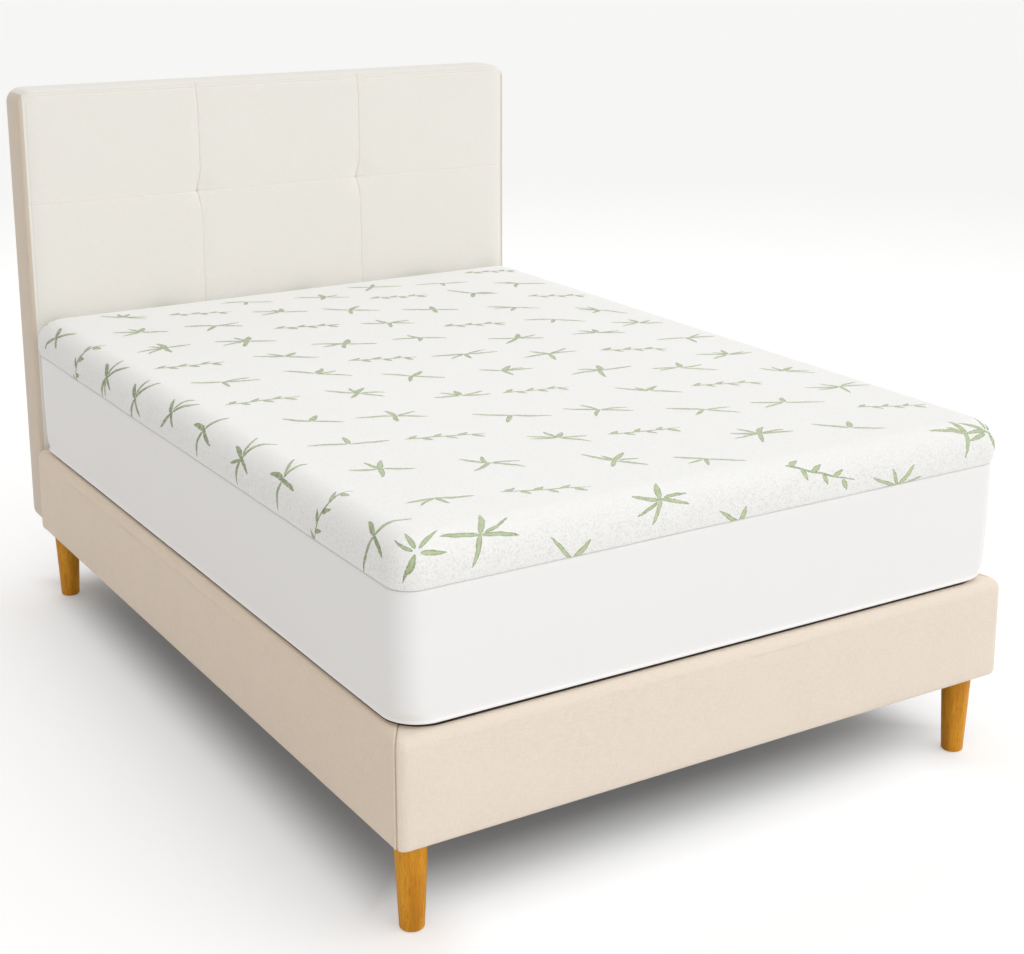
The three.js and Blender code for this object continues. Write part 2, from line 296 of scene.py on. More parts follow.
def close(piece, finish, sharp_angle=40):
    """Ends the modelling of a piece that stands for a solid: smooth shading, finish, slot and body."""
    bpy.ops.object.mode_set(mode="OBJECT")
    bpy.ops.object.shade_smooth_by_angle(angle=math.radians(sharp_angle))
    piece.data.materials.append(finish)
    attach(piece, "root")
    piece.select_set(False)


def all_at(element, axis, value, reach=1e-4):
    """Whether every point of an edge or face lies at that value along an axis."""
    return all(abs(point.co[axis] - value) < reach for point in element.verts)


oak, wiring, shader, place = start_finish("golden_oak")
years = wiring.grain(place, (1, 1, 0.10), 42, 3, 0.6)
streaks = wiring.grain(place, (1, 1, 0.035), 420, 3, 0.65)
pores = wiring.grain(place, (1, 1, 0.05), 900, 1)
oak_tone = wiring.blend(wiring.ramp(years, 0.3, 0.7), OAK_DARK, OAK_LIGHT)
oak_tone = wiring.blend(wiring.ramp(streaks, 0.45, 0.75, 0, 0.55), oak_tone, OAK_STREAK)
oak_tone = wiring.blend(wiring.ramp(pores, 0.60, 0.72, 0, 0.5), oak_tone, OAK_PORE)
wiring.give(shader.inputs["Base Color"], oak_tone)
wiring.give(shader.inputs["Roughness"], wiring.ramp(streaks, 0.3, 0.7, 0.36, 0.5))
shader.inputs["Specular IOR Level"].default_value = 0.22
shader.inputs["Coat Weight"].default_value = 0.05
shader.inputs["Coat Roughness"].default_value = 0.3
add_relief(wiring, shader, streaks, 0.0003)

for leg_node in ("leg_front_left", "leg_front_right", "leg_back_left", "leg_back_right"):
    low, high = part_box(leg_node)
    leg_top_radius = (high.x - low.x) / 2
    leg = begin(
        bpy.ops.mesh.primitive_cylinder_add, leg_node + "_turned", vertices=LEG_SIDES,
        radius=leg_top_radius, depth=high.z - low.z, location=(low + high) / 2,
    )
    foot = Vector(((low.x + high.x) / 2, (low.y + high.y) / 2, low.z))
    taper = LEG_FOOT_RADIUS / leg_top_radius
    pick(leg, "FACE", lambda face: all_at(face, 2, low.z))
    bpy.ops.transform.resize(value=(taper, taper, 1), center_override=foot)
    round_over(leg, lambda edge: all_at(edge, 2, low.z), LEG_FOOT_ROUNDING, 5)
    round_over(leg, lambda edge: all_at(edge, 2, high.z), LEG_TOP_ROUNDING, 2)
    close(leg, oak)
    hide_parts(leg_node)


# Bed base
# A timber box wrapped in thin foam under fine beige linen, coloured near black on its deck and underneath:
# a dust cover below, and painted shade on the deck that darkens the line under the protector's hem.
# The foot and head strips turn the corners, and the seams that join them to the side strips run over the top.
BASE_CORNER_RADIUS = 0.0215
BASE_TOP_ROUNDING = 0.020
BASE_BOTTOM_ROUNDING = 0.012
BASE_TURN_UNDER = 0.030
BASE_UNEVENNESS = 0.0009
DECK_SIDE_INSET = 0.0225
DECK_END_INSET = 0.0255
DECK_CORNER_RADIUS = 0.077
DECK_FADE = 0.003
DECK_SHADE_AND_COVER_DARK = (0.018, 0.014, 0.010, 1)
DECK_SHADE_AND_COVER_LIGHT = (0.042, 0.034, 0.026, 1)
BEIGE_LIGHT = (0.90, 0.80, 0.685, 1)
BEIGE_DARK = (0.82, 0.715, 0.60, 1)
SIDE_STRIP_SHADE = (0.965, 0.925, 0.88)
CORNER_SEAM_FROM_SIDE = 0.0016
CORNER_SEAM_FROM_END = 0.0133
CORNER_SEAM_TURN = math.radians(56)
CORNER_SEAM_CUTS = (-8.0, -6.5, -5.0, -3.5, -2.2, -1.2, -0.6, 0.0, 0.6, 1.2, 2.2, 4.0)
CORNER_SEAM_REACH = 0.09
CORNER_SEAM_WIDTH = 0.0015
CORNER_SEAM_DEPTH = 0.0030
CORNER_SEAM_ALLOWANCE = 0.0035
CORNER_SEAM_RISE = 0.0010
CORNER_SEAM_SHADE = (0.36, 0.27, 0.19, 1)
CORNER_CUT_REACH = 0.05
LARGEST_CORNER_FACE = 0.5
SMALLEST_SIDE_FACE = 0.002
BASE_ROW_PITCH = 0.03
BASE_COLUMN_PITCH = 0.05
BASE_END_INSET = 0.04


def linen(name, light, dark, slub_strength, relief_depth):
    """A plain-woven linen cover: threads both ways, with thicker slubs here and there."""
    material, wiring, shader, place = start_finish(name)
    across = wiring.grain(place, (0.07, 1, 1), 900, 2, 0.6)
    along = wiring.grain(place, (1, 0.07, 1), 900, 2, 0.6)
    upright = wiring.grain(place, (1, 1, 0.07), 900, 2, 0.6)
    threads = wiring.math("ADD", wiring.math("ADD", across, along), upright)
    slubs = wiring.grain(place, (0.12, 0.12, 1), 230, 3, 0.6)
    cloud = wiring.grain(place, (1, 1, 1), 9, 3)
    tone = wiring.blend(wiring.ramp(threads, 1.2, 1.8), dark, light)
    tone = wiring.blend(wiring.ramp(slubs, 0.5, 0.8, 0, slub_strength), tone, dark)
    tone = wiring.blend(wiring.ramp(cloud, 0.35, 0.7, 0, 0.25), tone, light)
    wiring.give(shader.inputs["Base Color"], tone)
    set_surface(shader, 0.92, 0.2, 0.25)
    add_relief(wiring, shader, threads, relief_depth, 0.6)
    return material, wiring, shader, place


def runs_along(edge, axis):
    """Whether an edge of a plain block runs along an axis."""
    return abs(edge.verts[0].co[axis] - edge.verts[1].co[axis]) > 0.05


def cut(piece, spot, way, wanted):
    """Cuts the wanted faces with the plane through a spot, square to a way."""
    pick(piece, "FACE", wanted)
    bpy.ops.mesh.bisect(plane_co=spot, plane_no=way)


def cut_across(piece, axis, places, wanted):
    """Cuts the wanted faces at right angles to an axis, once at each place along it."""
    way = Vector((axis == 0, axis == 1, axis == 2))
    for place_on_axis in places:
        cut(piece, way * place_on_axis, way, wanted)


def even_steps(start, end, pitch):
    """Places between start and end, evenly spaced and about a pitch apart, without the two ends."""
    count = max(round((end - start) / pitch), 1)
    return [start + (end - start) * step / count for step in range(1, count)]


def move_points(piece, moved):
    """Moves every point of the piece being modelled to where moved says."""
    shape = bmesh.from_edit_mesh(piece.data)
    shape.normal_update()
    places = [moved(point.co, point.normal) for point in shape.verts]
    for point, new_place in zip(shape.verts, places):
        point.co = new_place
    bmesh.update_edit_mesh(piece.data)


base_low, base_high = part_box("bed_base")
base_middle = (base_low + base_high) / 2
base_reach = (base_high - base_low) / 2
base = begin(
    bpy.ops.mesh.primitive_cube_add, "bed_base_cover", size=1,
    location=base_middle, scale=base_high - base_low,
)
round_over(base, lambda edge: runs_along(edge, 2), BASE_CORNER_RADIUS, 8)
round_over(base, lambda edge: all_at(edge, 2, base_high.z), BASE_TOP_ROUNDING, 8)
round_over(base, lambda edge: all_at(edge, 2, base_low.z), BASE_BOTTOM_ROUNDING, 5)
turned_in = (1 - BASE_TURN_UNDER / base_reach.x, 1 - BASE_TURN_UNDER / base_reach.y, 1)
for level in (base_high.z, base_low.z):
    pick(base, "FACE", lambda face: all_at(face, 2, level))
    bpy.ops.mesh.extrude_region_move()
    bpy.ops.transform.resize(value=turned_in, center_override=base_middle)
base_corners = [Vector((x, y)) for x in (base_low.x, base_high.x) for y in (base_low.y, base_high.y)]


def off_corner_seam(spot):
    """How far a point lies past the nearest corner's seam, towards the foot or head strip."""
    corner = min(base_corners, key=lambda place: (place - spot.xy).length)
    if (corner - spot.xy).length > CORNER_SEAM_REACH:
        return 1.0
    from_side = abs(spot.x - corner.x) - CORNER_SEAM_FROM_SIDE
    from_end = abs(spot.y - corner.y) - CORNER_SEAM_FROM_END
    return from_side * math.sin(CORNER_SEAM_TURN) - from_end * math.cos(CORNER_SEAM_TURN)


def is_by_corner(face, corner):
    is_near = any((point.co.xy - corner).length < CORNER_CUT_REACH for point in face.verts)
    return is_near and face.calc_area() < LARGEST_CORNER_FACE


for corner in base_corners:
    side = math.copysign(1, corner.x - base_middle.x)
    end = math.copysign(1, corner.y - base_middle.y)
    seam_spot = Vector((corner.x - side * CORNER_SEAM_FROM_SIDE, corner.y - end * CORNER_SEAM_FROM_END, 0))
    seam_way = Vector((-side * math.sin(CORNER_SEAM_TURN), end * math.cos(CORNER_SEAM_TURN), 0))
    for millimetres in CORNER_SEAM_CUTS:
        cut_spot = seam_spot + seam_way * millimetres / 1000
        cut(base, cut_spot, seam_way, lambda face: is_by_corner(face, corner))


def is_base_side(face):
    return abs(face.normal.z) < 0.02 and face.calc_area() > SMALLEST_SIDE_FACE


base_rows = even_steps(base_low.z + BASE_BOTTOM_ROUNDING, base_high.z - BASE_TOP_ROUNDING, BASE_ROW_PITCH)
cut_across(base, 2, base_rows, is_base_side)
for axis in (0, 1):
    columns = even_steps(base_low[axis] + BASE_END_INSET, base_high[axis] - BASE_END_INSET, BASE_COLUMN_PITCH)
    cut_across(base, axis, columns, is_base_side)


def bell(distance, width):
    return math.exp(-((distance / width) ** 2))


def soften_base(spot, normal):
    """The foam is never quite even, and the linen dips into each corner seam beside its turned edge."""
    swell = (noise.noise(spot * 7) * 0.7 + noise.noise(spot * 21) * 0.3) * BASE_UNEVENNESS
    swell -= CORNER_SEAM_DEPTH * bell(off_corner_seam(spot), CORNER_SEAM_WIDTH)
    swell += CORNER_SEAM_RISE * bell(off_corner_seam(spot) + CORNER_SEAM_ALLOWANCE, CORNER_SEAM_WIDTH * 1.5)
    return spot + normal * swell


move_points(base, soften_base)
base_linen, wiring, shader, place = linen("beige_linen", BEIGE_LIGHT, BEIGE_DARK, 0.35, 0.0004)
# Inside the turned-in linen the deck and underside are near black: a dust cover below, painted shade on the
# deck.
from_middle = wiring.vector("ABSOLUTE", wiring.vector("SUBTRACT", place, base_middle))
deck_turns = Vector((base_reach.x - DECK_SIDE_INSET, base_reach.y - DECK_END_INSET, 0))
deck_turns -= Vector((DECK_CORNER_RADIUS, DECK_CORNER_RADIUS, 0))
past_turn = wiring.vector("MAXIMUM", wiring.vector("SUBTRACT", from_middle, deck_turns), (0, 0, 0))
past_turn = wiring.vector("MULTIPLY", past_turn, (1, 1, 0))
from_turn = wiring.add("ShaderNodeVectorMath", past_turn, operation="LENGTH").outputs["Value"]
on_deck_shade_and_cover = wiring.ramp(from_turn, DECK_CORNER_RADIUS - DECK_FADE, DECK_CORNER_RADIUS, 1, 0)
linen_tone = shader.inputs["Base Color"].links[0].from_socket
fibres = wiring.grain(place, (1, 1, 1), 260, 4, 0.7)
deck_shade_and_cover_tone = wiring.blend(fibres, DECK_SHADE_AND_COVER_DARK, DECK_SHADE_AND_COVER_LIGHT)
# Painted shade: the side strips are a touch darker and warmer than the foot and head strips.
seam_spot = base_reach - Vector((CORNER_SEAM_FROM_SIDE, CORNER_SEAM_FROM_END, 0))
seam_way = (-math.sin(CORNER_SEAM_TURN), math.cos(CORNER_SEAM_TURN), 0)
from_seam = wiring.vector("SUBTRACT", from_middle, seam_spot)
off_seam = wiring.add("ShaderNodeVectorMath", from_seam, seam_way, operation="DOT_PRODUCT").outputs["Value"]
on_shaded_side = wiring.ramp(off_seam, -0.001, 0.001, 1, 0)
linen_tone = wiring.blend(on_shaded_side, linen_tone, wiring.vector("MULTIPLY", linen_tone, SIDE_STRIP_SHADE))
# Painted shade darkens the line of each corner seam.
seam_line_shade = wiring.ramp(wiring.math("ABSOLUTE", off_seam), 0.0003, 0.0018, 0.6, 0)
linen_tone = wiring.blend(seam_line_shade, linen_tone, CORNER_SEAM_SHADE)
wiring.give(shader.inputs["Base Color"], wiring.blend(on_deck_shade_and_cover, linen_tone, deck_shade_and_cover_tone))
close(base, base_linen)
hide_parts("bed_base")


# Headboard
# A tall board padded with foam, its ivory linen sewn from six panels and drawn back at two tufts.
# A seam along the rounded edge joins the front to the strip round it. Down both sides the strip is taupe,
# partly painted shade, and over the top a darker ivory, which is painted shade.
HEADBOARD_CORNER_RADIUS = 0.036
HEADBOARD_FRONT_ROUNDING = 0.012
HEADBOARD_BACK_ROUNDING = 0.008
LEVEL_SEAM_HEIGHT = 1.009
PADDING_PITCH = 0.014
NEAR_SEAM = (0.001, 0.0022, 0.0036, 0.0055, 0.0085, 0.013, 0.020, 0.030)
SEAM_GROOVE = 0.0016
UPRIGHT_SEAM_DEPTH = 0.0028
LEVEL_SEAM_DEPTH = 0.0009
EDGE_SEAM_DEPTH = 0.0012
EDGE_SEAM_INSET = 0.015
SEAM_VALLEY = 0.018
SEAM_VALLEY_DEPTH = 0.0012
LEVEL_VALLEY_DEPTH = 0.00048
LOWER_TIGHTNESS = 0.7
LEVEL_WANDER = 0.002
BOARD_UNEVENNESS = 0.0008
TOP_PULL = 0.0048
TUFT_PULL = 0.008
TUFT_PULL_REACH = 0.034
TUFT_PINCH_DEPTH = 0.003
TUFT_PINCH_RADIUS = 0.005
TUFT_DIMPLE_DEPTH = 0.006
TUFT_DIMPLE_RADIUS = 0.026
TUFT_DIMPLE_SHIFT = (0.010, 0.012)
TUFT_CREASE_LENGTH = 0.045
TUFT_CREASE_DEPTH = 0.0028
LEFT_CREASE_SHARE = 0.35
LEVEL_CREASE_WIDTH = 0.0025
UPRIGHT_CREASE_WIDTH = 0.003
SEAM_BOW_REACH = 0.05
SEAM_WANDER_FADE = 0.03
SIDE_ROLL = 0.009
SIDE_ROLL_REACH = 0.045
IVORY_LIGHT = (0.89, 0.87, 0.82, 1)
IVORY_DARK = (0.86, 0.835, 0.78, 1)
TAUPE_SHADE_LIGHT = (0.75, 0.645, 0.53, 1)
TAUPE_SHADE_DARK = (0.69, 0.59, 0.475, 1)
TOP_IVORY_SHADE_LIGHT = (0.84, 0.82, 0.77, 1)
TOP_IVORY_SHADE_DARK = (0.81, 0.785, 0.73, 1)
STRIP_START = 0.8

board_low, board_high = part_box("headboard")
board_middle = (board_low + board_high) / 2
upright_seams = ((board_low.x * 2 + board_high.x) / 3, (board_low.x + board_high.x * 2) / 3)
edge_seam_columns = (board_low.x + EDGE_SEAM_INSET, board_high.x - EDGE_SEAM_INSET)
edge_seam_rows = (board_low.z + EDGE_SEAM_INSET, board_high.z - EDGE_SEAM_INSET)
edge_seam_radius = HEADBOARD_CORNER_RADIUS - EDGE_SEAM_INSET


def past_edge_seam(x, z):
    """How far outside the rounded line of the edge seam a place on the front lies, negative inside it."""
    beside = abs(x - board_middle.x) - (edge_seam_columns[1] - board_middle.x - edge_seam_radius)
    above = abs(z - board_middle.z) - (edge_seam_rows[1] - board_middle.z - edge_seam_radius)
    return math.hypot(max(beside, 0), max(above, 0)) + min(max(beside, above), 0) - edge_seam_radius


def seam_pull(height):
    """How far an upright seam is drawn aside at a height, by its tuft and by the turn over the top."""
    at_tuft = TUFT_PULL * bell(height - LEVEL_SEAM_HEIGHT, TUFT_PULL_REACH)
    at_top = TOP_PULL * bell(height - board_high.z, TUFT_PULL_REACH)
    return -at_tuft - at_top


def level_wander(x):
    return LEVEL_WANDER * noise.noise(Vector((x * 4, 0, 3)))


def padding_depth(x, z):
    """How far the padded front lies behind its plane."""
    depth = EDGE_SEAM_DEPTH * bell(past_edge_seam(x, z), SEAM_GROOVE)
    above_level = z - LEVEL_SEAM_HEIGHT - level_wander(x)
    depth += LEVEL_SEAM_DEPTH * bell(above_level, SEAM_GROOVE)
    depth += LEVEL_VALLEY_DEPTH * bell(above_level, SEAM_VALLEY)
    from_side = board_high.x - board_middle.x - abs(x - board_middle.x)
    depth += SIDE_ROLL * max(1 - from_side / SIDE_ROLL_REACH, 0) ** 2
    for seam in upright_seams:
        aside = x - seam - seam_pull(z)
        tightness = LOWER_TIGHTNESS if z < LEVEL_SEAM_HEIGHT else 1.0
        depth += UPRIGHT_SEAM_DEPTH * tightness * bell(aside, SEAM_GROOVE)
        depth += SEAM_VALLEY_DEPTH * bell(aside, SEAM_VALLEY)
        tuft_x = x - seam + TUFT_PULL
        tuft_z = z - LEVEL_SEAM_HEIGHT
        depth += TUFT_PINCH_DEPTH * bell(math.hypot(tuft_x, tuft_z), TUFT_PINCH_RADIUS)
        from_dimple = math.hypot(tuft_x - TUFT_DIMPLE_SHIFT[0], tuft_z - TUFT_DIMPLE_SHIFT[1])
        depth += TUFT_DIMPLE_DEPTH * bell(from_dimple, TUFT_DIMPLE_RADIUS)
        sideways_fade = max(1 - abs(tuft_x) / TUFT_CREASE_LENGTH, 0)
        sideways_fade *= 1.0 if tuft_x > 0 else LEFT_CREASE_SHARE
        depth += TUFT_CREASE_DEPTH * sideways_fade * bell(above_level, LEVEL_CREASE_WIDTH)
        upright_fade = max(1 - abs(tuft_z) / TUFT_CREASE_LENGTH, 0)
        depth += TUFT_CREASE_DEPTH * upright_fade * bell(aside, UPRIGHT_CREASE_WIDTH)
    return depth


def seamed_steps(start, end, seams, pitch):
    """Even steps from start to end, with close steps on both sides of each seam."""
    clear = NEAR_SEAM[-1] + pitch / 2
    even = even_steps(start, end, pitch)
    places = [place for place in even if all(abs(place - seam) > clear for seam in seams)]
    for seam in seams:
        places += [seam] + [seam + side * step for step in NEAR_SEAM for side in (-1, 1)]
    return sorted(place for place in places if start < place < end)


# The side strips' taupe is partly painted shade; the top strip's darker ivory is painted shade.
headboard_linen = linen("ivory_linen", IVORY_LIGHT, IVORY_DARK, 0.2, 0.00015)[0]
shaded_strip_linen = linen("shaded_strip_linen", TAUPE_SHADE_LIGHT, TAUPE_SHADE_DARK, 0.3, 0.0004)[0]
top_shaded_linen = linen("top_strip_linen", TOP_IVORY_SHADE_LIGHT, TOP_IVORY_SHADE_DARK, 0.2, 0.0002)[0]
board = begin(
    bpy.ops.mesh.primitive_cube_add, "headboard_cover", size=1,
    location=board_middle, scale=board_high - board_low,
)
round_over(board, lambda edge: runs_along(edge, 1), HEADBOARD_CORNER_RADIUS, 8)
round_over(board, lambda edge: all_at(edge, 1, board_low.y), HEADBOARD_FRONT_ROUNDING, 6)
round_over(board, lambda edge: all_at(edge, 1, board_high.y), HEADBOARD_BACK_ROUNDING, 3)
front_reach = board_low.y + HEADBOARD_FRONT_ROUNDING


def is_board_front(face):
    return face.calc_center_median().y < front_reach


board_columns = seamed_steps(
    board_low.x + 0.001, board_high.x - 0.001, (*upright_seams, *edge_seam_columns), PADDING_PITCH,
)
board_rows = seamed_steps(
    board_low.z + 0.001, board_high.z - 0.001, (LEVEL_SEAM_HEIGHT, *edge_seam_rows), PADDING_PITCH,
)
cut_across(board, 0, board_columns, is_board_front)
cut_across(board, 2, board_rows, is_board_front)


def pad_board(spot, normal):
    """Draws the seams and tufts into the front, with the columns near a seam following its bow."""
    if spot.y > front_reach + 1e-5:
        return spot
    x = spot.x
    for seam in upright_seams:
        x += seam_pull(spot.z) * bell(spot.x - seam, SEAM_BOW_REACH)
    z = spot.z + level_wander(x) * bell(spot.z - LEVEL_SEAM_HEIGHT, SEAM_WANDER_FADE)
    facing = max(-normal.y, 0)
    swell = BOARD_UNEVENNESS * noise.noise(Vector((x * 5, z * 5, 7)))
    return Vector((x, spot.y + (padding_depth(x, z) + swell) * facing, z))


move_points(board, pad_board)
close(board, headboard_linen, sharp_angle=60)
board.data.materials.append(shaded_strip_linen)
board.data.materials.append(top_shaded_linen)
side_strip_starts = board_high.x - board_middle.x - HEADBOARD_FRONT_ROUNDING * STRIP_START
top_strip_starts = board_high.z - HEADBOARD_FRONT_ROUNDING * STRIP_START
# Side faces take the taupe, partly painted shade; top faces take the darker ivory, painted shade.
for face in board.data.polygons:
    if abs(face.center.x - board_middle.x) > side_strip_starts and abs(face.normal.x) > abs(face.normal.z):
        face.material_index = 1
    elif face.center.z > top_strip_starts:
        face.material_index = 2
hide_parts("headboard")


# Mattress
# A thick sprung mattress in plain off-white ticking, with softly rounded edges all round.
# It lies on the base and fills the protector, which hides it.
MATTRESS_WIDTH = 1.372
MATTRESS_LENGTH = 1.905
TOP_EDGE_RADIUS = 0.050
BOTTOM_EDGE_RADIUS = 0.006
RIM_LIFT = 0.006
RIM_LIFT_REACH = 0.040
BOTTOM_DRAW_IN = 0.003
DRAW_IN_HEIGHT = 0.150
PANEL_PUFF = 0.003
PUFF_HEIGHT = 0.024
CROWN_RISE = 0.006
CROWN_REACH = 0.260
TOP_CORNER_RADIUS = 0.042
BOTTOM_CORNER_RADIUS = 0.070
CORNER_SPREAD_HEIGHT = 0.036
INNER_CORNER_RADIUS = 0.012
MATTRESS_SLACK = 0.002
RING_PITCH = 0.010
RING_CORNER_STEPS = 14
BOTTOM_EDGE_STEPS = 8
TOP_EDGE_STEPS = 12
CROWN_SHARES = (0.12, 0.25, 0.4, 0.55, 0.7, 0.85, 1.0, 1.25, 1.5, 1.75, 2.0, 2.25, 2.4)
TICKING_RING_PITCH = 0.04
TICKING_DARK = (0.84, 0.82, 0.77, 1)
TICKING_LIGHT = (0.89, 0.87, 0.83, 1)

mattress_low, mattress_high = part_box("mattress")
skirt_low, skirt_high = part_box("protector_skirt")
panel_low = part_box("protector_top_panel")[0]
mattress_middle_y = (mattress_low.y + mattress_high.y) / 2
seam_height = (panel_low.z + skirt_high.z) / 2
mattress_edge_top = mattress_high.z - CROWN_RISE
bottom_turn_z = mattress_low.z + RIM_LIFT + BOTTOM_EDGE_RADIUS
top_turn_z = mattress_edge_top - TOP_EDGE_RADIUS


def smooth_step(value):
    share = min(max(value, 0.0), 1.0)
    return share * share * (3 - 2 * share)


def ring_points(row, pitch=RING_PITCH):
    """Points round the mattress in plan at one level, each with the way that faces out there."""
    out, z, corner = row
    half_width = MATTRESS_WIDTH / 2 + out
    half_length = MATTRESS_LENGTH / 2 + out
    points = []
    for side_x, side_y, start in ((1, -1, -90), (1, 1, 0), (-1, 1, 90), (-1, -1, 180)):
        for step in range(RING_CORNER_STEPS + 1):
            angle = math.radians(start + 90 * step / RING_CORNER_STEPS)
            way = Vector((math.cos(angle), math.sin(angle), 0))
            middle = Vector((side_x * (half_width - corner), side_y * (half_length - corner), z))
            points.append((middle + way * corner, way))
        along = Vector((-round(way.y), round(way.x), 0))
        runs_along_length = along.x == 0
        run = 2 * ((half_length if runs_along_length else half_width) - corner)
        steps = round((MATTRESS_LENGTH if runs_along_length else MATTRESS_WIDTH) / pitch)
        last = points[-1][0]
        points += [(last + along * run * step / steps, way) for step in range(1, steps)]
    return [(spot + Vector((0, mattress_middle_y, 0)), way) for spot, way in points]


def skin(name, rings, closed_above=False, closed_below=False):
    """A surface through level rings of points, from the lowest ring to the highest."""
    count = len(rings[0])
    last = (len(rings) - 1) * count
    faces = []
    for first in range(0, last, count):
        for step in range(count):
            following = (step + 1) % count
            faces.append((first + step, first + following, first + count + following, first + count + step))
    if closed_above:
        faces.append(list(range(last, last + count)))
    if closed_below:
        faces.append(list(reversed(range(count))))
    mesh = bpy.data.meshes.new(name)
    mesh.from_pydata([point for ring in rings for point in ring], [], faces)
    mesh.update()
    piece = bpy.data.objects.new(name, mesh)
    bpy.context.collection.objects.link(piece)
    bpy.ops.object.select_all(action="DESELECT")
    piece.select_set(True)
    bpy.context.view_layer.objects.active = piece
    return piece


def corner_radius_at(z):
    share = smooth_step((z - mattress_low.z) / CORNER_SPREAD_HEIGHT)
    return BOTTOM_CORNER_RADIUS + (TOP_CORNER_RADIUS - BOTTOM_CORNER_RADIUS) * share


def drawn_in(z):
    return -BOTTOM_DRAW_IN * (1 - smooth_step((z - mattress_low.z) / DRAW_IN_HEIGHT))


def side_rows(off, lowest, top, steps):
    """Levels up the plain side, off metres out from it: way out, height and corner radius."""
    lift_start = -BOTTOM_DRAW_IN - BOTTOM_EDGE_RADIUS - RIM_LIFT_REACH
    rows = [(lift_start, max(mattress_low.z - off, lowest), BOTTOM_CORNER_RADIUS - RIM_LIFT_REACH)]
    radius = BOTTOM_EDGE_RADIUS + off
    for step in range(BOTTOM_EDGE_STEPS + 1):
        angle = math.pi / 2 * (step / BOTTOM_EDGE_STEPS - 1)
        z = bottom_turn_z + radius * math.sin(angle)
        out = drawn_in(z) - BOTTOM_EDGE_RADIUS + radius * math.cos(angle)
        rows.append((out, max(z, lowest), corner_radius_at(z) + off * math.cos(angle)))
    for step in range(1, steps + 1):
        z = bottom_turn_z + (top - bottom_turn_z) * (step / steps) ** 1.6
        rows.append((drawn_in(z) + off, z, corner_radius_at(z) + off))
    return rows


def top_rows(off, start, steps):
    """Levels from start over the rounded top edge to the crown: way out, height and corner radius."""
    rows = []
    for step in range(steps):
        z = start + (top_turn_z - start) * step / steps
        puff = PANEL_PUFF * smooth_step((z - seam_height) / PUFF_HEIGHT)
        rows.append((puff + off, z, TOP_CORNER_RADIUS + off))
    for step in range(TOP_EDGE_STEPS + 1):
        angle = math.pi / 2 * step / TOP_EDGE_STEPS
        inward = (TOP_EDGE_RADIUS + off) * (1 - math.cos(angle))
        z = top_turn_z + (TOP_EDGE_RADIUS + off) * math.sin(angle)
        corner = max(TOP_CORNER_RADIUS + off - inward / 2, INNER_CORNER_RADIUS)
        rows.append((PANEL_PUFF + off - inward, z, corner))
    for share in CROWN_SHARES:
        out = PANEL_PUFF - TOP_EDGE_RADIUS - share * CROWN_REACH
        z = mattress_edge_top + off + CROWN_RISE * smooth_step(share)
        rows.append((out, z, INNER_CORNER_RADIUS))
    return rows


ticking, wiring, shader, place = start_finish("plain_ticking")
rib = wiring.add("ShaderNodeTexWave", place, bands_direction="DIAGONAL")
rib.inputs["Scale"].default_value = 120
rib.inputs["Distortion"].default_value = 1.5
wiring.give(shader.inputs["Base Color"], wiring.blend(rib.outputs["Fac"], TICKING_DARK, TICKING_LIGHT))
set_surface(shader, 0.9, 0.5)
add_relief(wiring, shader, rib.outputs["Fac"], 0.0003)

mattress_rows = side_rows(-MATTRESS_SLACK, 0, seam_height, 6) + top_rows(-MATTRESS_SLACK, seam_height, 3)[1:]
mattress_rings = [[spot for spot, way in ring_points(row, TICKING_RING_PITCH)] for row in mattress_rows]
mattress = skin("mattress_ticked", mattress_rings, closed_above=True, closed_below=True)
close(mattress, ticking, sharp_angle=60)
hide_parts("mattress")


# Protector skirt
# One band of smooth plain stretch knit, sewn to the printed top and pulled down over the sides.
# It grips under the mattress, where its edge is turned in and held by elastic.
SKIRT_CLOTH = 0.0015
SKIRT_OFF = 0.0037
SKIRT_TURN_UNDER = 0.030
SKIRT_UNEVENNESS = 0.0007
HEM_BEAD = 0.0034
HEM_BEAD_RISE = 0.0045
HEM_BEAD_HEIGHT = 0.0045
SEAM_LIP = 0.004
SKIRT_TUCK = 0.0028
SEAM_WANDER = 0.0010
SEAM_WANDER_REACH = 0.06
PUCKER_REACH = 0.016
PUCKER_DEPTH = 0.0005
LIP_SHARES = (0.35, 0.7, 1.0)
KNIT_SHADE = (0.915, 0.908, 0.903, 1)
KNIT_LIGHT = (0.930, 0.924, 0.918, 1)
HEM_HIGHLIGHT_WHITE = (0.985, 0.98, 0.975, 1)
HEM_FADE = 0.001


def cloth_ring(row, unevenness):
    """A level ring of cloth, a little uneven, that follows the seam's wander and puckers beside it."""
    near = 1 - smooth_step(abs(row[1] - seam_height) / SEAM_WANDER_REACH)
    beside = 1 - smooth_step(abs(row[1] - seam_height) / PUCKER_REACH)
    ring = []
    for spot, way in ring_points(row):
        flat_spot = Vector((spot.x, spot.y, 0))
        swell = unevenness * noise.noise(spot * 5) + PUCKER_DEPTH * beside * noise.noise(flat_spot * 55)
        wander = SEAM_WANDER * near * noise.noise(flat_spot * 6)
        ring.append(spot + way * swell + Vector((0, 0, wander)))
    return ring


def thicken(piece, thickness):
    """Gives a cloth its thickness, inwards from its outer face."""
    layer = piece.modifiers.new("cloth", "SOLIDIFY")
    layer.thickness = thickness
    layer.offset = -1
    bpy.ops.object.modifier_apply(modifier=layer.name)


stretch_knit, wiring, shader, place = start_finish("smooth_stretch_knit")
loops = wiring.grain(place, (1, 1, 0.25), 1100, 2)
cloud = wiring.grain(place, (1, 1, 1), 6, 3)
knit_tone = wiring.blend(cloud, KNIT_SHADE, KNIT_LIGHT)
